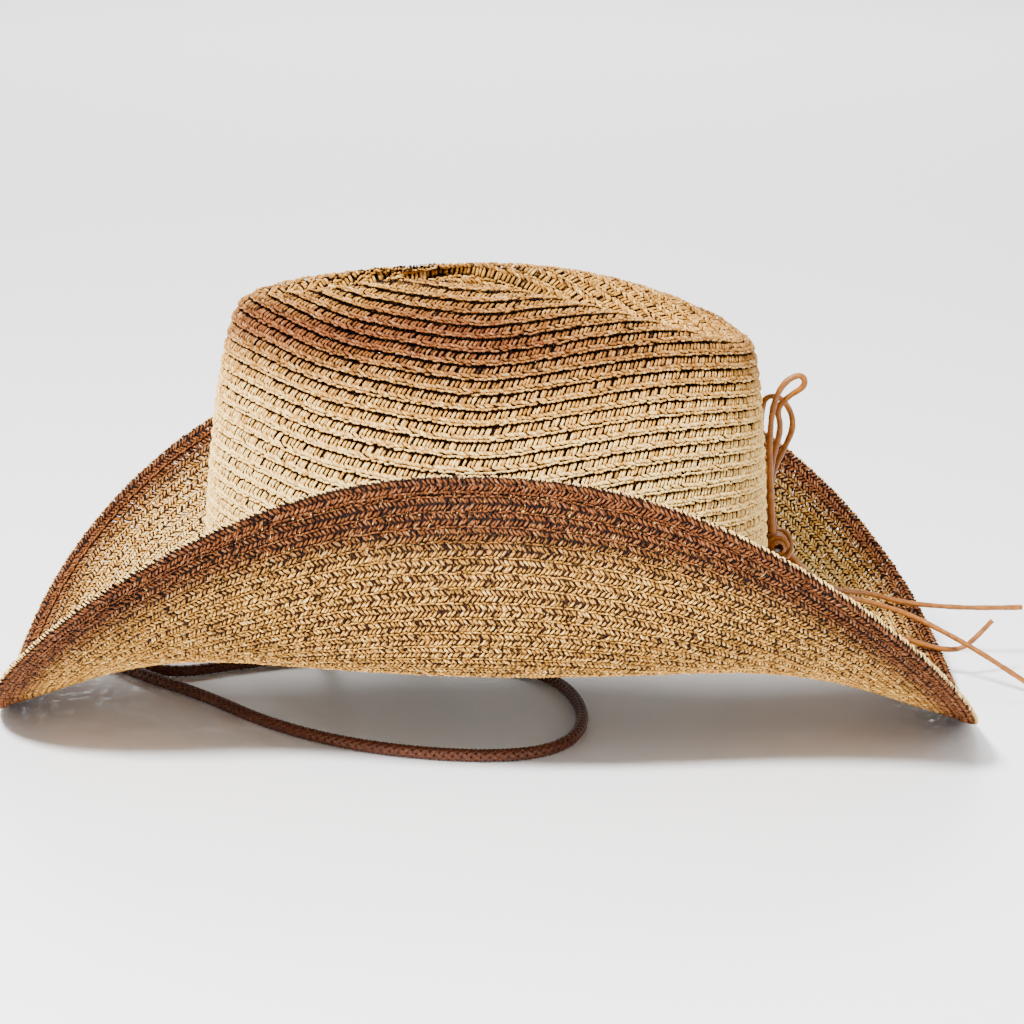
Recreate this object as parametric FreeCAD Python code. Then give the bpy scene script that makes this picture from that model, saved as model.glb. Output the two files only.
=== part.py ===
"""Straw cowboy hat with a lace band, a bow at the back and a braided chin cord.

Frame: +Z up, millimetres. X runs along the hat: the front brim tip is at -X, the bow is at +X.
The origin is under the centre of the hat, on the surface it rests on with both brim tips.
"""
import FreeCAD
import Part
import os
from math import atan2, cos, exp, pi, sin, sqrt, tan

os.makedirs("parts", exist_ok=True)
Vec = FreeCAD.Vector

# ---- head opening: the ellipse where the crown wall meets the brim ----
OPEN_A = 104.0           # half length
OPEN_B = 84.6            # half width
BASE_FRONT = 42.1        # height of the ellipse at the front, the back and the sides
BASE_BACK = 41.25
BASE_SIDE = 43.5

# ---- brim: its section turns along the width by these angles (radians, 0 is level) ----
BRIM_WIDTH = 87.2
FRONT_ROOT, FRONT_EDGE = -0.700, -0.280
BACK_ROOT, BACK_EDGE = -0.690, -0.268
SIDE_ROOT, SIDE_EDGE = -0.832, 1.944
SIDE_CURL = 0.238        # how early the side section turns up
SIDE_SKEW = -0.106       # how much more the back quarter turns up than the front
TIP_FRONT, TIP_BACK = 1.98, 1.79     # sharpness of the two tips

# ---- crown: ridge (a teardrop, narrow at the front) and the floor of the crease ----
RIDGE_MID_X, RIDGE_HALF_X = 3.5, 90.5
RIDGE_HALF_Y = (36.0, 18.0, 6.0)     # mean, cos and cos 2 terms
RIDGE_Z = (163.0, -7.0, -15.3)       # middle height, slope, fall towards both ends
FLOOR_MID_X, FLOOR_HALF_X = 4.0, 30.0
FLOOR_Z = 137.0
WALL_TAPER = 0.022       # how much the wall leans in before the shoulder
WALL_RISE = 0.66         # share of the wall's height that stays near upright
SHOULDER = 0.42          # how far the shoulder reaches out from the ridge
RIDGE_ROLL = 0.30        # how far the ridge rolls in before it dips
FLOOR_ROLL = 0.45
PINCH_DEPTH = 13.0       # the two dents a hand leaves beside the front
PINCH_AT = 1.92          # their bearing from the back, radians
PINCH_SPREAD = 0.42
PINCH_T, PINCH_T_SPREAD = 0.86, 0.24

# ---- thicknesses ----
BRAID = 1.8              # sewn straw braid, crown and brim
HEM_BRAID = 2.8          # doubled braid along the brim's edge
HEM_START = 0.94         # share of the brim's width where the hem braid starts
BAND_THICK = 1.2         # sweatband
BAND_LOW = 0.005         # share of the wall where it starts
BAND_TOP = 0.14          # share of the wall it covers
SEAM = 0.0004            # share of a surface left open where two shells meet end to end
STITCH_BITE = 0.05       # how far sewn or tied pieces press into each other

# ---- laces ----
LACE = 2.3
HAT_LACE_LOW, HAT_LACE_HIGH = 0.098, 0.108   # share of the wall the lace band covers
HAT_LACE_THICK = 1.7
KNOT_AT = Vec(108.7, 5.0, 62.5)
KNOT_RADIUS, KNOT_WIDE = 4.8, 17.0

# ---- chin cord ----
CORD = 4.8
TABLE_GAP = 0.05
CORD_Z = CORD / 2 + TABLE_GAP
STRAND_PITCH = 5.4       # spacing of the two strands inside the keeper
KEEPER_X, KEEPER_Y = -104.0, 78.0
KEEPER_LENGTH, KEEPER_WIDE, KEEPER_HIGH = 15.0, 15.0, 8.8
KEEPER_CLEAR = 0.1       # running clearance round the strands
KEEPER_ROUND = 1.2
ANCHOR_DIA, ANCHOR_LENGTH = 7.0, 6.0

HALF_STEPS = 30          # sampled bearings on each half of the hat
NUDGE = 1e-3             # step of the numeric normals


def blend(front, back, theta):
    """Value between the front (theta = pi) and the back (theta = 0)."""
    mix = 0.5 + 0.5 * cos(theta)
    return front * (1 - mix) + back * mix


def base_point(theta):
    """Point of the head opening's ellipse at a bearing, measured from the back."""
    ends = blend(BASE_FRONT, BASE_BACK, theta)
    side = BASE_SIDE - (BASE_FRONT + BASE_BACK) / 2
    return Vec(OPEN_A * cos(theta), OPEN_B * sin(theta), ends + side * sin(theta) ** 2)


def outward(theta):
    """Level unit vector square to the ellipse."""
    n = Vec(cos(theta) / OPEN_A, sin(theta) / OPEN_B, 0)
    return n.normalize()


def brim_angle(theta, s):
    """Slope of the brim's section at a share s of its width."""
    a, b = TIP_BACK / 2, TIP_FRONT / 2
    peak = (b - a) / (a + b)
    t = -cos(theta)
    side = (max(0.0, 1 - t) / (1 - peak)) ** a * (max(0.0, 1 + t) / (1 + peak)) ** b
    turned = (1 - exp(-s / SIDE_CURL)) / (1 - exp(-1 / SIDE_CURL))
    at_side = (SIDE_ROOT + (SIDE_EDGE - SIDE_ROOT) * turned) * (1 - SIDE_SKEW * cos(theta))
    root = blend(FRONT_ROOT, BACK_ROOT, theta)
    edge = blend(FRONT_EDGE, BACK_EDGE, theta)
    return (root + (edge - root) * s) * (1 - side) + at_side * side


def brim_point(theta, s):
    """Middle surface of the brim: the section's slope summed by Simpson's rule."""
    steps = 12
    reach = rise = 0.0
    for i in range(steps + 1):
        weight = 1 if i in (0, steps) else (4 if i % 2 else 2)
        angle = brim_angle(theta, s * i / steps)
        reach += weight * cos(angle)
        rise += weight * sin(angle)
    scale = BRIM_WIDTH * s / steps / 3
    return base_point(theta) + outward(theta) * (reach * scale) + Vec(0, 0, rise * scale)


def ridge_point(theta):
    c = cos(theta)
    half = RIDGE_HALF_Y[0] + RIDGE_HALF_Y[1] * c + RIDGE_HALF_Y[2] * cos(2 * theta)
    z = RIDGE_Z[0] + RIDGE_Z[1] * c + RIDGE_Z[2] * c * c
    return Vec(RIDGE_MID_X + RIDGE_HALF_X * c, half * sin(theta), z)


def floor_point(theta):
    return Vec(FLOOR_MID_X + FLOOR_HALF_X * cos(theta), 0, FLOOR_Z)


def level(v):
    return Vec(v.x, v.y, 0)


def bezier(p0, p1, p2, p3, t):
    q = 1 - t
    return p0 * (q ** 3) + p1 * (3 * q * q * t) + p2 * (3 * q * t * t) + p3 * (t ** 3)


def crown_point(theta, t):
    """Middle surface of the crown: t 0..1 is the wall, 1..2 runs from the ridge into the crease."""
    base, ridge, floor = base_point(theta), ridge_point(theta), floor_point(theta)
    if t <= 1:
        high = Vec(0, 0, (ridge.z - base.z) * WALL_RISE)
        lean = level(base) * -WALL_TAPER
        p = bezier(base, base + lean + high, ridge + level(base - ridge) * SHOULDER, ridge, t)
    else:
        inner = level(floor - ridge)
        p = bezier(ridge, ridge + inner * RIDGE_ROLL, floor - inner * FLOOR_ROLL, floor, t - 1)
    if t < 1.6:
        near = exp(-((abs(atan2(sin(theta), cos(theta))) - PINCH_AT) / PINCH_SPREAD) ** 2)
        near *= exp(-((t - PINCH_T) / PINCH_T_SPREAD) ** 2)
        p = p - outward(theta) * (PINCH_DEPTH * near)
    return p


def normal(surface, theta, t):
    """Unit vector to the outer or upper side of the crown or the brim."""
    if surface is crown_point and t > 1.999:
        return Vec(0, 0, 1)
    along = surface(theta + NUDGE, t) - surface(theta - NUDGE, t)
    across = surface(theta, t + NUDGE) - surface(theta, t - NUDGE)
    n = along.cross(across) if surface is crown_point else across.cross(along)
    if abs(sin(theta)) < 1e-9:
        n.y = 0
    return n.normalize()


def root_normal(theta):
    """Shared direction where the crown and the brim meet."""
    return (normal(crown_point, theta, 0) + normal(brim_point, theta, 0)).normalize()


def patch(surface, stations, offset):
    """One half (y >= 0) of the surface, moved out by an offset."""
    grid = []
    for i in range(HALF_STEPS + 1):
        theta = pi * i / HALF_STEPS
        row = []
        for t in stations:
            n = root_normal(theta) if t == 0 else normal(surface, theta, t)
            row.append(surface(theta, t) + n * offset)
        if i in (0, HALF_STEPS):
            row = [Vec(p.x, 0, p.z) for p in row]
        grid.append(row)
    face = Part.BSplineSurface()
    face.interpolate(grid)
    return face


def ring(surface, stations, inner, outer):
    """Closed solid between two offsets of a surface, all the way round the hat."""
    low = patch(surface, stations, inner)
    high = patch(surface, stations, outer)
    faces = [low.toShape(), high.toShape()]
    ends = [0] if surface is crown_point and stations[-1] == 2 else [0, 1]
    for end in ends:
        v = low.bounds()[2 + end]
        w = high.bounds()[2 + end]
        faces.append(Part.makeRuledSurface(low.vIso(v).toShape(), high.vIso(w).toShape()))
    faces += [f.mirror(Vec(), Vec(0, 1, 0)) for f in faces]
    skin = Part.makeCompound(faces)
    skin.sewShape(0.02)
    solid = Part.makeSolid(skin.Shells[0])
    if solid.Volume < 0:
        solid.reverse()
    return solid


def spread(first, last, count):
    return [first + (last - first) * i / count for i in range(count + 1)]


def cord_tube(route, diameter):
    """Round cord: straight runs joined by tangent arcs. Returns the solid, the smallest
    radius of its middle line and its length."""
    pts = [Vec(*p) for p in route]
    edges, radii, at = [], [], pts[0]
    for a, b, c in zip(pts, pts[1:], pts[2:]):
        back, ahead = (a - b), (c - b)
        turn = pi - back.getAngle(ahead)
        cut = 0.45 * min(back.Length, ahead.Length)
        radius = cut / tan(turn / 2)
        back, ahead = back.normalize(), ahead.normalize()
        start, end = b + back * cut, b + ahead * cut
        to_centre = (back + ahead).normalize()
        middle = b + to_centre * (sqrt(radius ** 2 + cut ** 2) - radius)
        edges.append(Part.LineSegment(at, start).toShape())
        edges.append(Part.Arc(start, middle, end).toShape())
        radii.append(radius)
        at = end
    edges.append(Part.LineSegment(at, pts[-1]).toShape())
    wire = Part.Wire(edges)
    first = (pts[1] - pts[0]).normalize()
    section = Part.Wire(Part.makeCircle(diameter / 2, pts[0], first))
    tube = wire.makePipeShell([section], True, False)
    share = tube.Volume / (pi * diameter ** 2 / 4 * wire.Length)
    return tube, min(radii), wire.Length, share


# Cord and lace routes, millimetres, chosen point by point.
RUN_A = KEEPER_Y + STRAND_PITCH / 2
RUN_B = KEEPER_Y - STRAND_PITCH / 2
RUN_Z = KEEPER_HIGH / 2
CORDS = {
    "chin_cord_loop": (CORD, [
        (KEEPER_X, RUN_A, RUN_Z), (-130, RUN_A, RUN_Z), (-151, 65.5, CORD_Z),
        (-147, 43, CORD_Z), (-130, 24, CORD_Z), (-104, -1, CORD_Z), (-79, -32.5, CORD_Z),
        (-46, -56.4, CORD_Z), (-8, -66.6, CORD_Z), (20, -63, CORD_Z), (34, -44, CORD_Z),
        (37.5, -12, CORD_Z), (29, 25, CORD_Z), (4, 50, CORD_Z), (-32, 58, CORD_Z),
        (-70, 53, CORD_Z), (-98, 40, CORD_Z), (-120, 28, CORD_Z), (-137, 40, CORD_Z),
        (-142, 62, CORD_Z), (-128, RUN_B, RUN_Z), (KEEPER_X, RUN_B, RUN_Z)]),
    "chin_cord_near": (CORD, [
        (KEEPER_X, RUN_B, RUN_Z), (-79, RUN_B, RUN_Z), (-62, 60, 6.5), (-56, 34, 14.5),
        (-54, 4, 24), (-49, -34, 33), (-36, -65, 38.5), (-19, -77, 41.6), (-7, -78.6, 43)]),
    "chin_cord_far": (CORD, [
        (KEEPER_X, RUN_A, RUN_Z), (-79, RUN_A, RUN_Z), (-54, 86, 3.6),
        (-34, 86, 15), (-24, 81, 30), (-15, 78.4, 41), (-7, 78.8, 43.4)]),
    "bow_loop_tall": (LACE, [
        (106.6, 3.2, 66), (105.9, 6, 78), (105.1, 9.5, 93), (104.8, 9, 109), (106.4, 8, 118.4),
        (110.0, 7.5, 124.6), (115.6, 7.6, 127.0), (117.6, 8.4, 122.4), (111.2, 10.6, 117.8),
        (107.2, 12.5, 112.6), (109.2, 13, 106.3), (108.0, 13, 99), (105.9, 12.5, 91),
        (105.3, 10.5, 79), (107.2, 6.6, 66.5)]),
    "bow_loop_low": (LACE, [
        (106.0, 11.6, 64.6), (103.9, 17.6, 78), (102.6, 21, 97), (102.4, 20.5, 111),
        (104.0, 18.6, 116.4), (109.4, 17.6, 116), (113.3, 17, 110.5), (114.3, 17, 104.5),
        (111.5, 17, 97.4), (107.6, 17, 89), (105.8, 15.6, 79), (108.4, 9.4, 66.2)]),
    "bow_tail_long": (LACE, [
        (110.2, 8.8, 61.5), (119, 20, 49), (129, 31, 40.5), (139, 43, 34), (150, 54, 30.6),
        (163, 59.5, 25.4), (178, 61, 23.4), (195, 60, 23), (212, 60, 23.6)]),
    "bow_tail_drooping": (LACE, [
        (111.4, 3.8, 61.6), (121, 11, 49), (135, 26, 37), (149.4, 36, 31.8), (164.4, 36, 26.9),
        (176, 31.4, 22.0), (188, 26.6, 16.4), (198, 22.6, 10.8), (207, 19, 5.6)]),
    "bow_tail_hooked": (LACE, [
        (110.6, 7.0, 59), (118, 17, 43.5), (131, 24.6, 34.5), (147, 33.4, 23.5), (163, 38, 16.6),
        (176, 39, 12.4), (184.6, 38.4, 12.2), (190, 38, 16.6), (196.5, 38, 24.4)]),
}


def keeper():
    """Flat oval slide with one slot for both strands, lying on the surface."""
    body = Part.makeBox(KEEPER_LENGTH, KEEPER_WIDE, KEEPER_HIGH)
    body.translate(Vec(-KEEPER_LENGTH / 2, -KEEPER_WIDE / 2, -KEEPER_HIGH / 2))
    body = body.makeFillet(KEEPER_ROUND, body.Edges)
    radius = CORD / 2 + KEEPER_CLEAR
    for side in (-0.5, 0.5):
        bore = Part.makeCylinder(radius, KEEPER_LENGTH * 1.4, Vec(-KEEPER_LENGTH * 0.7,
                                 side * STRAND_PITCH, 0), Vec(1, 0, 0))
        body = body.cut(bore)
    body.translate(Vec(KEEPER_X, KEEPER_Y, KEEPER_HIGH / 2))
    return body


def knot():
    """Bow knot: a short roll of wraps lying across the lace band."""
    half = Vec(0, KNOT_WIDE / 2 - KNOT_RADIUS, 0)
    roll = Part.makeCylinder(KNOT_RADIUS, 2 * half.Length, KNOT_AT - half, half)
    return roll.fuse([Part.makeSphere(KNOT_RADIUS, KNOT_AT + half),
                      Part.makeSphere(KNOT_RADIUS, KNOT_AT - half)]).removeSplitter()


def anchor(route):
    """Sewn tube that holds one end of the chin cord at the foot of the sweatband."""
    last, end = Vec(*route[-2]), Vec(*route[-1])
    return Part.makeCylinder(ANCHOR_DIA / 2, ANCHOR_LENGTH, end, end - last)


def main():
    solids = {
        "crown": ring(crown_point, spread(0, 2, 40), -BRAID / 2, BRAID / 2),
        "brim": ring(brim_point, spread(0, HEM_START, 12), -BRAID / 2, BRAID / 2),
        "brim_hem": ring(brim_point, spread(HEM_START + SEAM, 1, 3), -HEM_BRAID / 2, HEM_BRAID / 2),
        "sweatband": ring(crown_point, spread(BAND_LOW, BAND_TOP, 4),
                          -BRAID / 2 - BAND_THICK, -BRAID / 2 + STITCH_BITE),
        "hat_lace": ring(crown_point, spread(HAT_LACE_LOW, HAT_LACE_HIGH, 3),
                         BRAID / 2 - STITCH_BITE, BRAID / 2 + HAT_LACE_THICK),
        "bow_knot": knot(),
        "cord_keeper": keeper(),
        "cord_anchor_near": anchor(CORDS["chin_cord_near"][1]),
        "cord_anchor_far": anchor(CORDS["chin_cord_far"][1]),
    }
    for name, (diameter, route) in CORDS.items():
        solids[name], radius, length, share = cord_tube(route, diameter)
        print("%s: smallest radius %.1f mm (%.1f diameters), length %.0f mm, volume share %.3f"
              % (name, radius, radius / diameter, length, share))
    for name, solid in solids.items():
        box = solid.BoundBox
        print("%-18s valid %s, %d mm3, x %.1f..%.1f, y %.1f..%.1f, z %.1f..%.1f" % (
            name, solid.isValid() and solid.isClosed(), solid.Volume,
            box.XMin, box.XMax, box.YMin, box.YMax, box.ZMin, box.ZMax))
        solid.exportStep("parts/%s.step" % name)


main()
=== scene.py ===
"""Looks of the straw cowboy hat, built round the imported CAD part.

Lengths are millimetres in the tables and formulas and become metres when a mesh is made.
The surface formulas are the ones the CAD part uses. Bearings run from the back (+X), by the
far side (+Y), to the front (-X) and on to the near side (-Y).
"""

import math

import bpy
import numpy as np
from mathutils import Matrix, Vector


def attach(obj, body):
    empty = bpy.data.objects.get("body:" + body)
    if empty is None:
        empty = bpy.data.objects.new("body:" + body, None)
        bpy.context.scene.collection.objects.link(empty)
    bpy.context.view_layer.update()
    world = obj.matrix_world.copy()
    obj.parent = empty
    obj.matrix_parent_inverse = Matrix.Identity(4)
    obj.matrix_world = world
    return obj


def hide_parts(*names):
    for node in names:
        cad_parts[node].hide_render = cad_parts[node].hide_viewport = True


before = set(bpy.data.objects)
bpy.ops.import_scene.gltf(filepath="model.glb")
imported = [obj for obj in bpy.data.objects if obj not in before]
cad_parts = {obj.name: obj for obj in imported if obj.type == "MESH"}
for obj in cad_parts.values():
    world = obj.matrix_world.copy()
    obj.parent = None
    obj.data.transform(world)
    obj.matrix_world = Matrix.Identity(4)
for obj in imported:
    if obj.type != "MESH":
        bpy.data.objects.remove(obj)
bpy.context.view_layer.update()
random = np.random.default_rng(7)
MM = 0.001
TAU = 2 * math.pi

# ---- camera ----
CAMERA_TARGET = Vector((0.0, 0.0, 61.6)) * MM
CAMERA_DISTANCE = 1069.3 * MM
CAMERA_ELEVATION = 0.2585
CAMERA_YAW = 0.0
CAMERA_ROLL = 0.0111
CAMERA_LENS = 101.2
CAMERA_SHIFT = (0.0254, 0.0343)
SENSOR_WIDTH = 36.0
CLIP_START, CLIP_END = 0.05, 20.0

# ---- lights: name, place, aim and size in metres, power in watts ----
LIGHTS = [
    ("key", (-0.7, -1.1, 1.5), (0, 0, 0.08), 0.35, 130),
    ("fill", (1.3, -0.8, 0.9), (0, 0, 0.08), 1.0, 6),
    ("backdrop", (0, 3.2, 2.4), (0, 3.0, 0), 2.5, 150),
]
FLOOR_HALF = 6000.0

# ---- head opening and brim, as in the CAD part ----
OPEN_A, OPEN_B = 104.0, 84.6
BASE_FRONT, BASE_BACK, BASE_SIDE = 42.1, 41.25, 43.5
BRIM_WIDTH = 87.2
FRONT_ROOT, FRONT_EDGE = -0.700, -0.280
BACK_ROOT, BACK_EDGE = -0.690, -0.268
SIDE_ROOT, SIDE_EDGE = -0.832, 1.944
SIDE_CURL, SIDE_SKEW = 0.238, -0.106
TIP_FRONT, TIP_BACK = 1.98, 1.79

# ---- crown, as in the CAD part ----
RIDGE_MID_X, RIDGE_HALF_X = 3.5, 90.5
RIDGE_HALF_Y = (36.0, 18.0, 6.0)
RIDGE_Z = (163.0, -7.0, -15.3)
FLOOR_MID_X, FLOOR_HALF_X, FLOOR_Z = 4.0, 30.0, 137.0
WALL_TAPER, WALL_RISE, SHOULDER = 0.022, 0.66, 0.42
RIDGE_ROLL, FLOOR_ROLL = 0.30, 0.45
PINCH_DEPTH, PINCH_AT, PINCH_SPREAD = 13.0, 1.92, 0.42
PINCH_T, PINCH_T_SPREAD, PINCH_END = 0.86, 0.24, 1.6

# ---- braid ----
CROWN_ROWS = 33
BRIM_ROWS = 17
EDGE = CROWN_ROWS + BRIM_ROWS
FINE = 12                # samples across each row
BEARINGS = 1440          # samples round the hat
WALL_STEPS = 320         # samples from the crease to the foot of the crown
SPIRAL = 1.0             # rows the braid goes down in one turn
STITCH = 1.55            # from one stitch to the next
SAG, SAG_AT, SAG_SPREAD = 2.7, 1.80, 0.66    # rows sag over the dents in the crown's sides
SAG_IN, SAG_OUT = 0.34, 0.24    # shares of the crown over which the sag grows and fades
LEAST_ROOM = 0.05        # rows of room a stitch needs where the spiral starts
STRAND_SIDES, STRAND_TIP = 5, 0.55
ALONG_JITTER = 0.11      # stitches
STRAND_JITTER = (0.11, 0.034, 0.09)    # stitches along, rows across, millimetres out
WIDTH_JITTER, TONE_JITTER, SPRAY_JITTER = 0.08, 0.8, 0.05
SHADE_ROWS, LEAST_SHADE = 9, 0.3    # the crease's rows get the least painted shade, and it grows outwards

# ---- spray, in rows and bearings ----
EDGE_REACH, EDGE_REACH_SIDES, EDGE_REACH_UPPER = 4.5, 2.0, 0.8
EDGE_FADE = 3.2
HEM_SPRAY = 0.15
DENT_AT, DENT_SPREAD = 1.72, 0.62
FRONT_AT, FRONT_SPREAD = 2.6, 0.5
SPRAY_LEAST, SPRAY_MORE = 0.55, 0.45
SPRAY_ROW, SPRAY_RISE = 13.0, 3.2
SPRAY_ROWS, SPRAY_WIDER = 2.6, 2.0

# ---- painted highlight: tone added, first row, rows it grows over ----
HIGHLIGHT_FOOT, HIGHLIGHT_FROM, HIGHLIGHT_OVER = 2.5, 12, 10
HIGHLIGHT_BRIM, HIGHLIGHT_BRIM_OVER = 2.4, 7

# ---- materials ----
TONE_STEP = 0.18         # share of the colour ramp that one unit of tone moves
BUMP_DEPTH = 0.0004
TINY = 1e-9


def blend(front, back, theta):
    """A value that runs from front to back with the bearing."""
    mix = 0.5 + 0.5 * np.cos(theta)
    return front * (1 - mix) + back * mix


def stack(x, y, z):
    """Points from their coordinates."""
    return np.stack(np.broadcast_arrays(x, y, z), -1)


def base_point(theta):
    """Points of the head opening, where the crown meets the brim."""
    ends = blend(BASE_FRONT, BASE_BACK, theta)
    side = BASE_SIDE - (BASE_FRONT + BASE_BACK) / 2
    return stack(OPEN_A * np.cos(theta), OPEN_B * np.sin(theta), ends + side * np.sin(theta) ** 2)


def outward(theta):
    """Level unit vectors square to the head opening."""
    n = stack(np.cos(theta) / OPEN_A, np.sin(theta) / OPEN_B, 0.0)
    return n / np.linalg.norm(n, axis=-1, keepdims=True)


def brim_surface(theta, s):
    """Grid of points, bearings by shares of the width."""
    theta = theta[:, None]
    s = s[None, :]
    a, b = TIP_BACK / 2, TIP_FRONT / 2
    peak = (b - a) / (a + b)
    t = -np.cos(theta)
    side = (np.maximum(0, 1 - t) / (1 - peak)) ** a * (np.maximum(0, 1 + t) / (1 + peak)) ** b
    turned = (1 - np.exp(-s / SIDE_CURL)) / (1 - np.exp(-1 / SIDE_CURL))
    at_side = (SIDE_ROOT + (SIDE_EDGE - SIDE_ROOT) * turned) * (1 - SIDE_SKEW * np.cos(theta))
    root = blend(FRONT_ROOT, BACK_ROOT, theta)
    edge = blend(FRONT_EDGE, BACK_EDGE, theta)
    angle = (root + (edge - root) * s) * (1 - side) + at_side * side
    step = s[0, 1] - s[0, 0]
    start = int(round(-s[0, 0] / step))

    def total(f):
        run = np.concatenate([np.zeros((len(f), 1)), np.cumsum((f[:, 1:] + f[:, :-1]) / 2, 1)], 1)
        return (run - run[:, start:start + 1]) * step * BRIM_WIDTH

    reach, rise = total(np.cos(angle)), total(np.sin(angle))
    up = np.array([0.0, 0.0, 1.0])
    return base_point(theta) + outward(theta) * reach[..., None] + up * rise[..., None]


def bezier(p0, p1, p2, p3, t):
    """Points of a cubic Bezier curve."""
    q = 1 - t
    return p0 * q ** 3 + p1 * (3 * q * q * t) + p2 * (3 * q * t * t) + p3 * t ** 3


def crown_surface(theta, t):
    """Grid of points, bearings by t: 0..1 is the wall, 1..2 runs from the ridge into the crease."""
    theta = theta[:, None]
    t = t[None, :]
    c = np.cos(theta)
    base = base_point(theta)
    half = RIDGE_HALF_Y[0] + RIDGE_HALF_Y[1] * c + RIDGE_HALF_Y[2] * np.cos(2 * theta)
    ridge_z = RIDGE_Z[0] + RIDGE_Z[1] * c + RIDGE_Z[2] * c * c
    ridge = stack(RIDGE_MID_X + RIDGE_HALF_X * c, half * np.sin(theta), ridge_z)
    floor = stack(FLOOR_MID_X + FLOOR_HALF_X * c, 0.0, FLOOR_Z)
    flat = np.array([1.0, 1.0, 0.0])
    high = (ridge - base) * (1 - flat) * WALL_RISE
    wall = bezier(base, base - base * flat * WALL_TAPER + high,
                  ridge + (base - ridge) * flat * SHOULDER, ridge, np.minimum(t, 1)[..., None])
    inner = (floor - ridge) * flat
    top = bezier(ridge, ridge + inner * RIDGE_ROLL, floor - inner * FLOOR_ROLL, floor,
                 np.clip(t - 1, 0, 1)[..., None])
    p = np.where((t <= 1)[..., None], wall, top)
    bearing = np.abs(np.arctan2(np.sin(theta), c))
    near = np.exp(-((bearing - PINCH_AT) / PINCH_SPREAD) ** 2)
    near = near * np.exp(-((t - PINCH_T) / PINCH_T_SPREAD) ** 2) * (t < PINCH_END)
    return p - outward(theta) * (PINCH_DEPTH * near)[..., None]


class Cloth:
    """A surface laid out in bearings and rows of braid, with its outer normals."""

    def __init__(self, points, rows):
        self.points = points
        self.rows = rows
        self.count, self.across = points.shape[0] - 1, points.shape[1] - 1
        along = np.empty_like(points)
        along[1:-1] = points[2:] - points[:-2]
        along[0] = along[-1] = points[1] - points[-2]
        across = np.gradient(points, axis=1)
        n = np.cross(across, along)
        self.normals = n / np.maximum(np.linalg.norm(n, axis=-1, keepdims=True), TINY)

    def _at(self, grid, theta, row):
        """Values of a grid between its samples."""
        x = (np.asarray(theta) % TAU) / TAU * self.count
        y = np.clip(row, 0, self.rows) / self.rows * self.across
        x, y = np.broadcast_arrays(x, y)
        i, j = np.minimum(x.astype(int), self.count - 1), np.minimum(y.astype(int), self.across - 1)
        a, b = (x - i)[..., None], (y - j)[..., None]
        low = grid[i, j] * (1 - b) + grid[i, j + 1] * b
        high = grid[i + 1, j] * (1 - b) + grid[i + 1, j + 1] * b
        return low * (1 - a) + high * a

    def at(self, theta, row):
        """Points of the surface."""
        return self._at(self.points, theta, row)

    def normal(self, theta, row):
        """Unit vectors out of the surface."""
        n = self._at(self.normals, theta, row)
        return n / np.maximum(np.linalg.norm(n, axis=-1, keepdims=True), TINY)


def braid_cloth():
    """The whole straw body: rows counted from the crease down the crown, then out over the brim."""
    theta = np.linspace(0, TAU, BEARINGS + 1)
    crown = crown_surface(theta, np.linspace(2, 0, WALL_STEPS + 1))
    run = np.concatenate([np.zeros((len(crown), 1)),
                          np.cumsum(np.linalg.norm(np.diff(crown, axis=1), axis=-1), 1)], 1)
    share = np.linspace(0, 1, CROWN_ROWS * FINE + 1)
    bearing = np.abs(np.arctan2(np.sin(theta), np.cos(theta)))
    sag = SAG / CROWN_ROWS * np.exp(-((bearing - SAG_AT) / SAG_SPREAD) ** 2)
    held = np.sin(np.pi / 2 * np.minimum(1, np.minimum(share / SAG_IN, (1 - share) / SAG_OUT)))
    even = np.empty((len(crown), len(share), 3))
    for i in range(len(crown)):
        at = (share + sag[i] * held) * run[i, -1]
        for k in range(3):
            even[i, :, k] = np.interp(at, run[i], crown[i, :, k])
    brim = brim_surface(theta, np.linspace(0, 1, BRIM_ROWS * FINE + 1))
    points = np.concatenate([even, brim[:, 1:]], 1)
    edge = points[:, -1:] * 2 - points[:, -FINE - 1:-1][:, ::-1]
    return Cloth(np.concatenate([points, edge], 1), EDGE + 1.0)


def new_mesh(name, verts, faces, tone=None, spray=None):
    """Mesh object from vertices in millimetres and equal-sided faces."""
    mesh = bpy.data.meshes.new(name)
    sides = faces.shape[1]
    mesh.vertices.add(len(verts))
    mesh.vertices.foreach_set("co", (verts * MM).astype(np.float32).ravel())
    mesh.loops.add(faces.size)
    mesh.loops.foreach_set("vertex_index", faces.astype(np.int32).ravel())
    mesh.polygons.add(len(faces))
    mesh.polygons.foreach_set("loop_start", np.arange(0, faces.size, sides, dtype=np.int32))
    mesh.polygons.foreach_set("loop_total", np.full(len(faces), sides, dtype=np.int32))
    mesh.polygons.foreach_set("use_smooth", np.ones(len(faces), dtype=bool))
    for key, values in (("tone", tone), ("spray", spray)):
        if values is not None:
            attribute = mesh.attributes.new(key, "FLOAT", "POINT")
            attribute.data.foreach_set("value", values.astype(np.float32).ravel())
    mesh.update()
    obj = bpy.data.objects.new(name, mesh)
    bpy.context.scene.collection.objects.link(obj)
    return obj


def merged(name, parts):
    """One mesh of many parts, each its vertices, its quads and perhaps its tones and spray."""
    made, base = [], 0
    for verts, quads, *values in parts:
        made.append((verts, quads + base, *values))
        base += len(verts)
    return new_mesh(name, *[np.concatenate(part) for part in zip(*made)])


def circle(sides):
    """Even angles round a full turn."""
    return np.arange(sides) * TAU / sides


def wall(index):
    """Quads between neighbouring rows of vertex numbers, where each row is a closed ring."""
    a, b = index[..., :-1, :], index[..., 1:, :]
    return np.stack([a, np.roll(a, -1, -1), np.roll(b, -1, -1), b], -1).reshape(-1, 4)


def run_along(line):
    """Distance along a line at each of its points."""
    return np.concatenate([[0], np.cumsum(np.linalg.norm(np.diff(line, axis=0), axis=1))])
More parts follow.
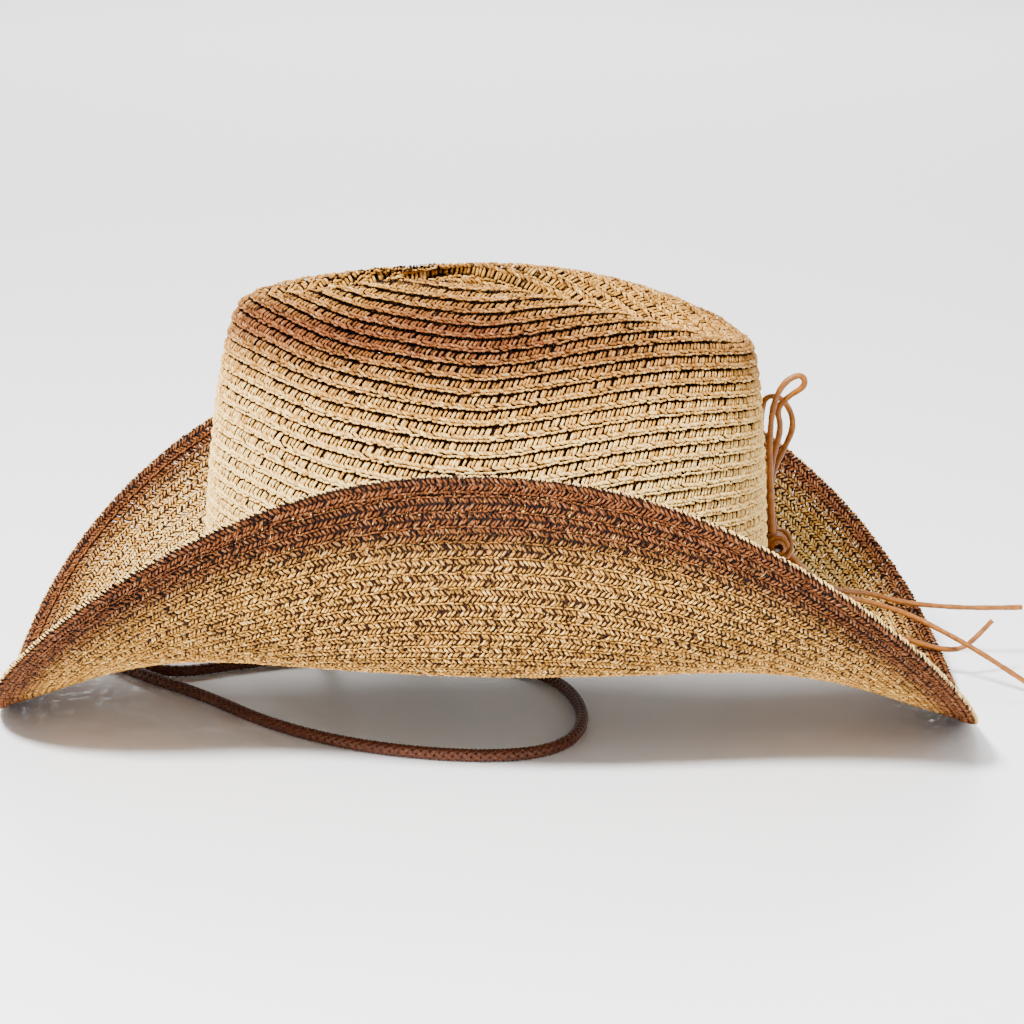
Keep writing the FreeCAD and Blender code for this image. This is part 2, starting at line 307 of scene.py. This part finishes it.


# Strand shapes of one stitch. Each strand is a list of points (stitches along, rows across,
# millimetres out, painted shade in the crevice there), its half width and half thickness in
# millimetres and its painted light: above zero painted shade, below zero a painted highlight.
CROWN_STITCH = [
    # slanted strand: its root, under the lip above, carries the lip's painted shadow
    ([(0.86, -0.06, -1.20, 7.0), (0.72, 0.08, -0.80, 7.0), (0.54, 0.19, -0.30, 4.5),
      (0.40, 0.27, 0.05, 0.3), (0.00, 0.49, 0.32, 0.0), (-0.22, 0.68, 0.10, 1.6)],
     0.55, 0.38, 0.0),
    # under-layer strand, darkened as painted shade where it lies behind the slits
    ([(-0.60, -0.12, -1.40, 0.0), (0.05, 0.26, -1.10, 0.0), (0.70, 0.60, -0.85, 0.0),
      (1.30, 0.98, -0.60, 0.0)], 1.00, 0.20, 3.0),
    ([(-0.80, 0.62, 0.00, 2.4), (-0.30, 0.73, 0.60, 0.0), (0.25, 0.82, 0.78, 0.0),
      (0.75, 0.86, 0.20, 2.0)], 0.58, 0.42, 0.0),
    # lip strand, slightly lightened as a painted highlight
    ([(-0.60, 0.94, 0.40, 1.6), (-0.20, 1.00, 0.82, 0.0), (0.20, 1.00, 0.82, 0.0),
      (0.60, 0.94, 0.40, 1.6)], 0.44, 0.38, -0.2),
]
BRIM_UP = [
    ([(-0.70, 0.06, -0.10, 3.6), (-0.30, 0.20, 0.42, 0.0), (0.10, 0.34, 0.46, 0.0),
      (0.50, 0.50, -0.10, 3.6)], 0.40, 0.34, 0.0),
    ([(0.66, 0.50, -0.10, 3.0), (0.28, 0.64, 0.46, 0.0), (-0.14, 0.78, 0.42, 0.0),
      (-0.52, 0.94, -0.10, 3.6)], 0.40, 0.34, 0.0),
    ([(-0.60, -0.05, 0.05, 2.4), (-0.20, 0.00, 0.40, 0.0), (0.20, 0.00, 0.40, 0.0),
      (0.60, -0.05, 0.05, 2.4)], 0.32, 0.30, 0.1),
]
# Middle layer of the brim braid, seen through the slits: its darkening is painted shade.
PAINTED_SHADE_CORE = [
    ([(-0.6, -0.06, 0.0, 0.0), (0.0, 0.50, 0.0, 0.0), (0.6, 1.06, 0.0, 0.0)], 1.0, 0.14, 3.0)]
# Loop round the hem's edge, lightened as a painted highlight, with painted shade at its ends.
EDGE_LOOP = [
    ([(-0.55, 0.96, 0.75, 1.2), (-0.20, 1.03, 0.50, 0.0), (0.10, 1.08, 0.00, 0.0),
      (0.40, 1.03, -0.50, 0.0), (0.65, 0.96, -0.75, 1.2)], 0.36, 0.32, -1.4)]
HEM_LIFT = 0.5           # millimetres the doubled hem stands above the single braid


def both_faces(shapes, lift=0.0):
    """The same strands on the upper and the lower face."""
    made = []
    for points, *rest in shapes:
        for way in (1, -1):
            made.append(([(u, v, way * (h + lift), crevice_shade) for u, v, h, crevice_shade in points], *rest))
    return made


BRIM_STITCH = both_faces(BRIM_UP) + PAINTED_SHADE_CORE
HEM_STITCH = both_faces(BRIM_UP, HEM_LIFT) + both_faces(PAINTED_SHADE_CORE, HEM_LIFT) + EDGE_LOOP


def spray_amount(theta, row, upper):
    """Share of mauve brown sprayed on: the brim's edge, and the ridge and dents of the crown."""
    reach = EDGE_REACH + EDGE_REACH_SIDES * np.sin(theta) ** 4 - EDGE_REACH_UPPER * upper
    brim = np.clip((row - (EDGE - reach)) / EDGE_FADE, 0, 1)
    brim = np.where(row > EDGE, HEM_SPRAY, brim * brim * (3 - 2 * brim))
    bearing = np.abs(np.arctan2(np.sin(theta), np.cos(theta)))
    dent = np.exp(-((bearing - DENT_AT) / DENT_SPREAD) ** 2)
    front = np.exp(-((bearing - FRONT_AT) / FRONT_SPREAD) ** 2)
    strength = SPRAY_LEAST + SPRAY_MORE * np.clip(dent + front, 0, 1)
    off = (row - SPRAY_ROW + SPRAY_RISE * dent) / (SPRAY_ROWS + SPRAY_WIDER * dent)
    return np.maximum(brim, strength * np.exp(-off ** 2))


def painted_highlight(row, upper):
    """Tone added as painted highlight: the lit foot of the crown and the brim's upper face, turned to
    the light.
    """
    crown = HIGHLIGHT_FOOT * np.clip((row - HIGHLIGHT_FROM) / HIGHLIGHT_OVER, 0, 1)
    brim = HIGHLIGHT_BRIM * upper * np.clip((EDGE - row) / HIGHLIGHT_BRIM_OVER, 0, 1)
    return np.where(row < CROWN_ROWS, crown, brim)


def strands(cloth, row, shape, spiral):
    """All the strands of one kind in one turn of braid: vertices, quads, tones and spray."""
    points, width, thick, painted_light = shape
    theta = np.linspace(0, TAU, BEARINGS // 2 + 1)
    run = run_along(cloth.at(theta, row + 0.5 + spiral * theta / TAU))
    count = int(round(run[-1] / STITCH))
    at = (np.arange(count) + 0.5) / count * run[-1]
    at = at + random.normal(0, ALONG_JITTER, count) * STITCH
    at = at[row + 1 + spiral * np.interp(at, run, theta) / TAU > LEAST_ROOM]
    count = len(at)
    local = np.array(points)[:, :3]
    crevice_shade = np.array(points)[:, 3]
    jitter = random.normal(0, 1, (count, 1, 3)) * np.array(STRAND_JITTER)
    u, v, h = np.moveaxis(local[None] + jitter, -1, 0)
    bearing = np.interp(at[:, None] + u * STITCH, run, theta)
    low = row + spiral * bearing / TAU
    start = np.maximum(0, low)
    place = start + v * (low + 1 - start)
    n = cloth.normal(bearing, place)
    p = cloth.at(bearing, place) + n * h[..., None]
    wide = width * (1 + random.normal(0, WIDTH_JITTER, (count, 1)))
    ring, quads = tubes(p, n, wide, thick, STRAND_SIDES, STRAND_TIP)
    upper = h.mean() > 0
    # how strongly the painted shade and highlights are laid on, growing outwards from the crease
    shade_scale = np.clip(row / SHADE_ROWS, LEAST_SHADE, 1)
    # tone: random per strand, less the painted shade of crevices and covered layers, plus painted
    # highlights
    tone = random.normal(0, TONE_JITTER, (count, 1)) - (painted_light * 2 + crevice_shade) * shade_scale
    tone = tone + painted_highlight(place, upper)
    spray = spray_amount(bearing, place, upper) + random.normal(0, SPRAY_JITTER, (count, 1))
    spray = np.clip(spray, 0, 1)
    return (ring.reshape(-1, 3), quads,
            np.repeat(tone.ravel(), STRAND_SIDES), np.repeat(spray.ravel(), STRAND_SIDES))


def tubes(p, n, width, thick, sides, end):
    """Flat tubes along rows of points. n is out of the surface, end the share of width at the tips."""
    count, fine = p.shape[:2]
    tangent = np.gradient(p, axis=1)
    side = np.cross(n, tangent)
    side /= np.maximum(np.linalg.norm(side, axis=-1, keepdims=True), TINY)
    rise = np.cross(tangent, side)
    rise /= np.maximum(np.linalg.norm(rise, axis=-1, keepdims=True), TINY)
    taper = np.ones(fine)
    taper[0] = taper[-1] = end
    wide = (width * taper)[..., None]
    deep = np.broadcast_to((thick * taper)[None, :, None], (count, fine, 1))
    angle = circle(sides)
    ring = (p[:, :, None] + side[:, :, None] * (wide * np.cos(angle))[..., None]
            + rise[:, :, None] * (deep * np.sin(angle))[..., None])
    return ring, wall(np.arange(count * fine * sides).reshape(count, fine, sides))


def braid_row(name, cloth, row, shapes, spiral=SPIRAL):
    """One mesh of one turn of braid."""
    return merged(name, [strands(cloth, row, shape, spiral) for shape in shapes])


def node(tree, kind, **values):
    """New shader node with its inputs or settings filled in."""
    made = tree.nodes.new(kind)
    for key, value in values.items():
        if key in made.inputs:
            made.inputs[key].default_value = value
        else:
            setattr(made, key, value)
    return made


def surface_material(name, shades, roughness, grain, bump, gloss=0.5, spray=None):
    """Fine-grained surface: its colour runs through the shades by strand tone and by noise.
    spray is a second colour laid on where the mesh's spray value asks for it."""
    material = bpy.data.materials.new(name)
    material.use_nodes = True
    tree = material.node_tree
    link = tree.links.new
    shader = tree.nodes["Principled BSDF"]
    tone = node(tree, "ShaderNodeAttribute", attribute_name="tone")
    place = node(tree, "ShaderNodeTexCoord")
    noise = node(tree, "ShaderNodeTexNoise", Scale=grain, Detail=3.0)
    link(place.outputs["Object"], noise.inputs["Vector"])
    amount = node(tree, "ShaderNodeMath", operation="MULTIPLY_ADD")
    amount.inputs[1].default_value = TONE_STEP
    link(tone.outputs["Fac"], amount.inputs[0])
    link(noise.outputs["Fac"], amount.inputs[2])
    ramp = tree.nodes.new("ShaderNodeValToRGB")
    for shade in shades[1:-1]:
        ramp.color_ramp.elements.new(shades.index(shade) / (len(shades) - 1))
    for element, shade in zip(ramp.color_ramp.elements, shades):
        element.color = (*shade, 1)
    link(amount.outputs[0], ramp.inputs["Fac"])
    colour = ramp.outputs["Color"]
    if spray:
        sprayed = node(tree, "ShaderNodeAttribute", attribute_name="spray")
        mix = node(tree, "ShaderNodeMix", data_type="RGBA")
        mix.blend_type = "MULTIPLY"
        mix.inputs[7].default_value = (*spray, 1)
        link(sprayed.outputs["Fac"], mix.inputs[0])
        link(colour, mix.inputs[6])
        colour = mix.outputs[2]
    link(colour, shader.inputs["Base Color"])
    height = node(tree, "ShaderNodeBump", Strength=bump, Distance=BUMP_DEPTH)
    link(noise.outputs["Fac"], height.inputs["Height"])
    link(height.outputs["Normal"], shader.inputs["Normal"])
    shader.inputs["Roughness"].default_value = roughness
    shader.inputs["Specular IOR Level"].default_value = gloss
    return material


def camera():
    """The camera that sees the hat as in the main view."""
    data = bpy.data.cameras.new("camera")
    obj = bpy.data.objects.new("camera", data)
    bpy.context.scene.collection.objects.link(obj)
    data.lens = CAMERA_LENS
    data.sensor_width = SENSOR_WIDTH
    data.shift_x, data.shift_y = CAMERA_SHIFT
    data.clip_start, data.clip_end = CLIP_START, CLIP_END
    forward = Vector((-math.sin(CAMERA_YAW) * math.cos(CAMERA_ELEVATION),
                      math.cos(CAMERA_YAW) * math.cos(CAMERA_ELEVATION),
                      -math.sin(CAMERA_ELEVATION)))
    obj.location = CAMERA_TARGET - forward * CAMERA_DISTANCE
    turn = forward.to_track_quat("-Z", "Y").to_matrix() @ Matrix.Rotation(CAMERA_ROLL, 3, "Z")
    obj.rotation_euler = turn.to_euler()
    bpy.context.scene.camera = obj


def area_light(name, place, aim, size, power):
    """Round lamp at one place, turned to another."""
    data = bpy.data.lights.new(name, "AREA")
    data.shape = "DISK"
    data.size = size
    data.energy = power
    obj = bpy.data.objects.new(name, data)
    obj.location = place
    obj.rotation_euler = (Vector(aim) - Vector(place)).to_track_quat("-Z", "Y").to_euler()
    bpy.context.scene.collection.objects.link(obj)


def studio():
    """White surroundings, lights and floor."""
    world = bpy.data.worlds.new("world")
    world.use_nodes = True
    background = world.node_tree.nodes["Background"]
    background.inputs["Color"].default_value = (1, 1, 1, 1)
    background.inputs["Strength"].default_value = 1.0
    bpy.context.scene.world = world
    for light in LIGHTS:
        area_light(*light)
    corners = np.array([[-1, -1, 0], [1, -1, 0], [1, 1, 0], [-1, 1, 0]]) * FLOOR_HALF
    floor = new_mesh("floor", corners, np.array([[0, 1, 2, 3]]))
    material = bpy.data.materials.new("floor")
    material.use_nodes = True
    shader = material.node_tree.nodes["Principled BSDF"]
    shader.inputs["Base Color"].default_value = (1, 1, 1, 1)
    floor.data.materials.append(material)


# ---- laces and chin cord: the CAD part's routes ----
LACE = 2.3
LACE_STEP, LACE_SIDES = 0.7, 12
LACE_WIDE, LACE_DEEP = 1.04, 0.86    # shares of the diameter: the lace is a little flat
LACE_SWELL, LACE_SWELL_RATE = 0.05, 0.55    # share of the thickness, radians per millimetre
LACE_RIPPLE, LACE_RIPPLE_RATE = 0.03, 1.7
LACE_TWIST, LACE_TWIST_RATE = 0.4, 0.06     # radians, radians per millimetre
CLOSED = 0.02            # share of the radius left where an end is closed
KNOT_AT = (108.7, 5.0, 62.5)
KNOT_TURNS, KNOT_PITCH = 3.2, 2.5
KNOT_COIL = (3.3, 3.7)               # half sizes of the coil along X and Z
KNOT_OVER = (5.0, 5.22, 4.2)         # reach of the turn that crosses over the coil
KNOT_CORE, KNOT_CORE_HALF = 3.0, 5.5
CORD = 4.8
CORD_PITCH, CORD_PAIRS = 13.0, 4     # millimetres for one turn of a strand, strands each way
CORD_STRAND = (0.92, 0.42)           # half width and half thickness of a strand
CORD_WEAVE = 0.22                    # how far a strand rises and sinks where strands cross
CORD_DEPTH, CORD_CORE_DEPTH = 0.62, 0.95    # of the strands' middles and the core under the skin
CORD_TONE, CORD_CORE_TONE = 0.3, -2.0
CORD_Z = CORD / 2 + 0.05             # where the cord lies on the floor
ANCHOR_LENGTH, ANCHOR_RADIUS, ANCHOR_TIP = 6.0, 3.1, 0.3
ANCHOR_TURNS, ANCHOR_THREAD = 4, 0.4
ANCHOR_STEPS, ANCHOR_SIDES = 30, 24
KEEPER_X, KEEPER_Y = -104.0, 78.0
KEEPER_LENGTH, KEEPER_WIDE, KEEPER_HIGH = 15.0, 15.0, 8.8
KEEPER_SIDES, KEEPER_SQUARE = 48, 0.45
KEEPER_RIM = [(0, -1.2), (0.25, -0.5), (1.2, 0), (2.2, 0), (2.6, -0.35), (3.0, 0)]
STRANDS_HALF, SLOT_HALF = 2.7, 2.5
RUN_A, RUN_B, RUN_Z = KEEPER_Y + STRANDS_HALF, KEEPER_Y - STRANDS_HALF, KEEPER_HIGH / 2
# Each cord: length, far end, lay and route.
CHIN_CORDS = {
    "chin_cord_loop": (618, "object", "loose", [
        (KEEPER_X, RUN_A, RUN_Z), (-130, RUN_A, RUN_Z), (-151, 65.5, CORD_Z),
        (-147, 43, CORD_Z), (-130, 24, CORD_Z), (-104, -1, CORD_Z), (-79, -32.5, CORD_Z),
        (-46, -56.4, CORD_Z), (-8, -66.6, CORD_Z), (20, -63, CORD_Z), (34, -44, CORD_Z),
        (37.5, -12, CORD_Z), (29, 25, CORD_Z), (4, 50, CORD_Z), (-32, 58, CORD_Z),
        (-70, 53, CORD_Z), (-98, 40, CORD_Z), (-120, 28, CORD_Z), (-137, 40, CORD_Z),
        (-142, 62, CORD_Z), (-128, RUN_B, RUN_Z), (KEEPER_X, RUN_B, RUN_Z)]),
    "chin_cord_near": (211, "object", "loose", [
        (KEEPER_X, RUN_B, RUN_Z), (-79, RUN_B, RUN_Z), (-62, 60, 6.5), (-56, 34, 14.5),
        (-54, 4, 24), (-49, -34, 33), (-36, -65, 38.5), (-19, -77, 41.6), (-7, -78.6, 43)]),
    "chin_cord_far": (114, "object", "loose", [
        (KEEPER_X, RUN_A, RUN_Z), (-79, RUN_A, RUN_Z), (-54, 86, 3.6),
        (-34, 86, 15), (-24, 81, 30), (-15, 78.4, 41), (-7, 78.8, 43.4)]),
}
# Each lace: length, far end and route.
LACES = {
    "bow_loop_tall": (132, "object", [
        (106.6, 3.2, 66), (105.9, 6, 78), (105.1, 9.5, 93), (104.8, 9, 109), (106.4, 8, 118.4),
        (110.0, 7.5, 124.6), (115.6, 7.6, 127.0), (117.6, 8.4, 122.4), (111.2, 10.6, 117.8),
        (107.2, 12.5, 112.6), (109.2, 13, 106.3), (108.0, 13, 99), (105.9, 12.5, 91),
        (105.3, 10.5, 79), (107.2, 6.6, 66.5)]),
    "bow_loop_low": (112, "object", [
        (106.0, 11.6, 64.6), (103.9, 17.6, 78), (102.6, 21, 97), (102.4, 20.5, 111),
        (104.0, 18.6, 116.4), (109.4, 17.6, 116), (113.3, 17, 110.5), (114.3, 17, 104.5),
        (111.5, 17, 97.4), (107.6, 17, 89), (105.8, 15.6, 79), (108.4, 9.4, 66.2)]),
    "bow_tail_long": (133, "bare", [
        (110.2, 8.8, 61.5), (119, 20, 49), (129, 31, 40.5), (139, 43, 34), (150, 54, 30.6),
        (163, 59.5, 25.4), (178, 61, 23.4), (195, 60, 23), (212, 60, 23.6)]),
    "bow_tail_drooping": (125, "bare", [
        (111.4, 3.8, 61.6), (121, 11, 49), (135, 26, 37), (149.4, 36, 31.8), (164.4, 36, 26.9),
        (176, 31.4, 22.0), (188, 26.6, 16.4), (198, 22.6, 10.8), (207, 19, 5.6)]),
    "bow_tail_hooked": (115, "bare", [
        (110.6, 7.0, 59), (118, 17, 43.5), (131, 24.6, 34.5), (147, 33.4, 23.5), (163, 38, 16.6),
        (176, 39, 12.4), (184.6, 38.4, 12.2), (190, 38, 16.6), (196.5, 38, 24.4)]),
}
# Sections of the bands: share of the wall's height, millimetres out.
LACE_SECTION = [(0.0985, 1.6), (0.101, 2.5), (0.105, 2.5), (0.1075, 1.6),
                (0.1075, 1.1), (0.105, 0.85), (0.101, 0.85), (0.0985, 1.1)]
SWEATBAND_SECTION = [(0.006, -1.0), (0.03, -0.9), (0.07, -0.9), (0.11, -0.9), (0.136, -0.9),
                     (0.14, -1.4), (0.136, -1.9), (0.11, -2.05), (0.07, -2.05), (0.03, -2.0)]


def spline_points(route, gap):
    """Points of the smooth curve through a route's control points, about gap apart."""
    data = bpy.data.curves.new("route", "CURVE")
    data.dimensions = "3D"
    spline = data.splines.new("NURBS")
    spline.points.add(len(route) - 1)
    for point, place in zip(spline.points, route):
        point.co = (*(c * MM for c in place), 1)
    spline.order_u = 3
    spline.use_endpoint_u = True
    spline.resolution_u = 24
    obj = bpy.data.objects.new("route", data)
    mesh = bpy.data.meshes.new_from_object(obj)
    raw = np.array([v.co for v in mesh.vertices]) / MM
    bpy.data.objects.remove(obj)
    bpy.data.curves.remove(data)
    bpy.data.meshes.remove(mesh)
    run = run_along(raw)
    even = np.linspace(0, run[-1], max(8, int(run[-1] / gap)))
    return np.stack([np.interp(even, run, raw[:, k]) for k in range(3)], -1)


def frames(line):
    """Two unit vectors square to a line at each of its points, without twist."""
    tangent = np.gradient(line, axis=0)
    tangent /= np.linalg.norm(tangent, axis=1, keepdims=True)
    side = np.cross(tangent[0], [0.0, 0.0, 1.0])
    if np.linalg.norm(side) < 0.1:
        side = np.cross(tangent[0], [1.0, 0.0, 0.0])
    sides = []
    for t in tangent:
        side = side - t * (side @ t)
        side = side / np.linalg.norm(side)
        sides.append(side)
    sides = np.array(sides)
    return sides, np.cross(tangent, sides)


def lace(name, route):
    """Cut leather lace: a slightly flat, slightly uneven tube with closed ends."""
    line = spline_points(route, LACE_STEP)
    a, b = frames(line)
    angle = circle(LACE_SIDES)
    run = np.linspace(0, 1, len(line)) * len(line) * LACE_STEP
    swell = 1 + LACE_SWELL * np.sin(run * LACE_SWELL_RATE)
    swell = swell + LACE_RIPPLE * np.sin(run * LACE_RIPPLE_RATE + 1)
    twist = LACE_TWIST * np.sin(run * LACE_TWIST_RATE)
    across = LACE / 2 * LACE_WIDE * swell[:, None] * np.cos(angle)
    deep = LACE / 2 * LACE_DEEP * swell[:, None] * np.sin(angle)
    c, s = np.cos(twist)[:, None], np.sin(twist)[:, None]
    ring = (line[:, None] + a[:, None] * (across * c - deep * s)[..., None]
            + b[:, None] * (across * s + deep * c)[..., None])
    first = line[:1, None] + (ring[:1] - line[:1, None]) * CLOSED
    last = line[-1:, None] + (ring[-1:] - line[-1:, None]) * CLOSED
    ring = np.concatenate([first, ring, last])
    quads = wall(np.arange(ring.shape[0] * LACE_SIDES).reshape(-1, LACE_SIDES))
    return new_mesh(name, ring.reshape(-1, 3), quads), line


def round_braid(name, route):
    """Round plaited cord: strands wind both ways and pass over and under each other."""
    radius = CORD / 2
    wide, thick = CORD_STRAND
    line = spline_points(route, CORD_PITCH / 16)
    a, b = frames(line)
    run = run_along(line)
    parts = []
    for way in (-1, 1):
        for k in range(CORD_PAIRS):
            phase = way * TAU * run / CORD_PITCH + TAU * k / CORD_PAIRS
            lift = way * np.cos(CORD_PAIRS * TAU * run / CORD_PITCH) * CORD_WEAVE
            out = a * np.cos(phase)[:, None] + b * np.sin(phase)[:, None]
            p = line + out * (radius - CORD_DEPTH + lift)[:, None]
            ring, quads = tubes(p[None], out[None], wide, thick, sides=6, end=0.8)
            parts.append((ring.reshape(-1, 3), quads, np.full(ring.size // 3, CORD_TONE * way)))
    inner = radius - CORD_CORE_DEPTH
    core, quads = tubes(line[None], b[None], inner, inner, sides=8, end=0.9)
    parts.append((core.reshape(-1, 3), quads, np.full(core.size // 3, CORD_CORE_TONE)))
    return merged(name, parts), line


def ring_strip(name, outline):
    """Closed band round the crown, from the loop of its section's points."""
    theta = np.linspace(0, TAU, BEARINGS // 2 + 1)[:-1]
    section = []
    for height, offset in outline:
        p = crown_surface(theta, np.array([height]))[:, 0]
        section.append(p + outward(theta) * offset)
    grid = np.stack(section, 1)
    index = np.arange(grid.shape[0] * grid.shape[1]).reshape(grid.shape[:2])
    return new_mesh(name, grid.reshape(-1, 3), wall(np.concatenate([index, index[:1]])))


def bow_knot():
    """Turns of lace round the bow's roots, with one turn crossing over them."""
    centre = np.array(KNOT_AT)
    a = np.linspace(0, KNOT_TURNS * TAU, 150)
    coil = centre + np.stack([KNOT_COIL[0] * np.cos(a), (a / a[-1] - 0.5) * KNOT_PITCH * KNOT_TURNS,
                              KNOT_COIL[1] * np.sin(a)], -1)
    b = np.linspace(-0.45 * math.pi, 0.55 * math.pi, 40)
    bent = np.stack([np.cos(b * 0.9), np.sin(b), np.sin(b * 1.1)], -1)
    parts = []
    for line in (coil, centre + bent * KNOT_OVER):
        out = line - centre - np.outer((line - centre)[:, 1], [0.0, 1.0, 0.0])
        out /= np.linalg.norm(out, axis=1, keepdims=True)
        ring, quads = tubes(line[None], out[None], LACE / 2 * 1.05, LACE / 2 * 0.85,
                            sides=10, end=0.5)
        parts.append((ring.reshape(-1, 3), quads))
    core = np.linspace(-KNOT_CORE_HALF, KNOT_CORE_HALF, 20)[:, None] * np.array([0.0, 1.0, 0.0])
    out = np.tile([1.0, 0.0, 0.0], (1, 20, 1))
    ring, quads = tubes((core + centre)[None], out, KNOT_CORE, KNOT_CORE, sides=12, end=0.6)
    parts.append((ring.reshape(-1, 3), quads))
    return merged("bow_knot_look", parts)


def keeper():
    """Leather slide: rounded and grooved outside, one flat slot for both strands."""
    angle = circle(KEEPER_SIDES)
    c, s = np.cos(angle), np.sin(angle)
    outer = (KEEPER_WIDE / 2 * np.sign(c) * np.abs(c) ** KEEPER_SQUARE,
             KEEPER_HIGH / 2 * np.sign(s) * np.abs(s) ** KEEPER_SQUARE)
    slot = (STRANDS_HALF * np.tanh(c * 4) + SLOT_HALF * c, SLOT_HALF * s)
    half = KEEPER_LENGTH / 2
    stations = [(-half, 0, slot)]
    stations += [(-half + x, grow, outer) for x, grow in KEEPER_RIM]
    stations += [(half - x, grow, outer) for x, grow in reversed(KEEPER_RIM)]
    stations += [(half, 0, slot)]
    grid = np.stack([np.stack([np.full(KEEPER_SIDES, x), y + grow * c, z + grow * s], -1)
                     for x, grow, (y, z) in stations])
    grid = grid + np.array([KEEPER_X, KEEPER_Y, RUN_Z])
    index = np.arange(len(stations) * KEEPER_SIDES).reshape(-1, KEEPER_SIDES)
    return new_mesh("keeper_look", grid.reshape(-1, 3), wall(np.concatenate([index, index[:1]])))


def anchor(name, route):
    """Sewn end of a cord: a short sleeve with raised turns of thread."""
    last, end = np.array(route[-2]), np.array(route[-1])
    way = (end - last) / np.linalg.norm(end - last)
    run = np.linspace(0, ANCHOR_LENGTH, ANCHOR_STEPS + 1)
    turns = np.abs(np.sin(run / ANCHOR_LENGTH * math.pi * ANCHOR_TURNS))
    radius = ANCHOR_RADIUS + ANCHOR_THREAD * turns
    radius[0] = radius[-1] = ANCHOR_TIP
    line = end + run[:, None] * way
    a, b = frames(line)
    angle = circle(ANCHOR_SIDES)[:, None]
    ring = line[:, None] + radius[:, None, None] * (a[:, None] * np.cos(angle)
                                                    + b[:, None] * np.sin(angle))
    quads = wall(np.arange((ANCHOR_STEPS + 1) * ANCHOR_SIDES).reshape(-1, ANCHOR_SIDES))
    return new_mesh(name, ring.reshape(-1, 3), quads)


def finish_piece(piece, body, material, stands_for):
    """Give a piece its material and body, and let it stand for a node of the CAD part."""
    piece.data.materials.append(material)
    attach(piece, body)
    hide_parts(stands_for)


camera()
studio()
straw = surface_material("straw", [(0.016, 0.004, 0.001), (0.58, 0.27, 0.042), (0.98, 0.70, 0.25)],
                         roughness=0.65, grain=900, bump=0.3, gloss=0.12, spray=(0.28, 0.165, 0.22))
leather = surface_material("lace leather", [(0.09, 0.024, 0.003), (0.42, 0.145, 0.017)],
                           roughness=0.42, grain=500, bump=0.3, gloss=0.35)
plait = surface_material("cord leather", [(0.025, 0.006, 0.002), (0.17, 0.043, 0.011)],
                         roughness=0.38, grain=700, bump=0.3, gloss=0.35)
linen = surface_material("sweatband cloth", [(0.42, 0.34, 0.22), (0.80, 0.72, 0.55)],
                         roughness=0.9, grain=1400, bump=0.6)
keeper_skin = surface_material("keeper leather", [(0.03, 0.010, 0.004), (0.16, 0.050, 0.018)],
                               roughness=0.35, grain=500, bump=0.4)

cloth = braid_cloth()
hem = EDGE - 1
for row in range(-1, hem):
    part, shapes = ("crown", CROWN_STITCH) if row < CROWN_ROWS else ("brim", BRIM_STITCH)
    finish_piece(braid_row("%s_row_%02d" % (part, row + 1), cloth, row, shapes),
                 "hat", straw, part)
finish_piece(braid_row("hem_row", cloth, hem, HEM_STITCH, spiral=0.0),
             "hat", straw, "brim_hem")

for name, (length, far_end, route) in LACES.items():
    piece, line = lace(name + "_look", route)
    finish_piece(piece, "hat", leather, name)
for name, (length, far_end, lay, route) in CHIN_CORDS.items():
    piece, line = round_braid(name + "_look", route)
    finish_piece(piece, "hat", plait, name)

finish_piece(bow_knot(), "hat", leather, "bow_knot")
finish_piece(ring_strip("hat_lace_look", LACE_SECTION), "hat", leather, "hat_lace")
sweatband = ring_strip("sweatband_look", SWEATBAND_SECTION)
finish_piece(sweatband, "hat", linen, "sweatband")
finish_piece(keeper(), "keeper", keeper_skin, "cord_keeper")
for side in ("near", "far"):
    finish_piece(anchor("anchor_%s_look" % side, CHIN_CORDS["chin_cord_" + side][3]),
                 "hat", plait, "cord_anchor_" + side)
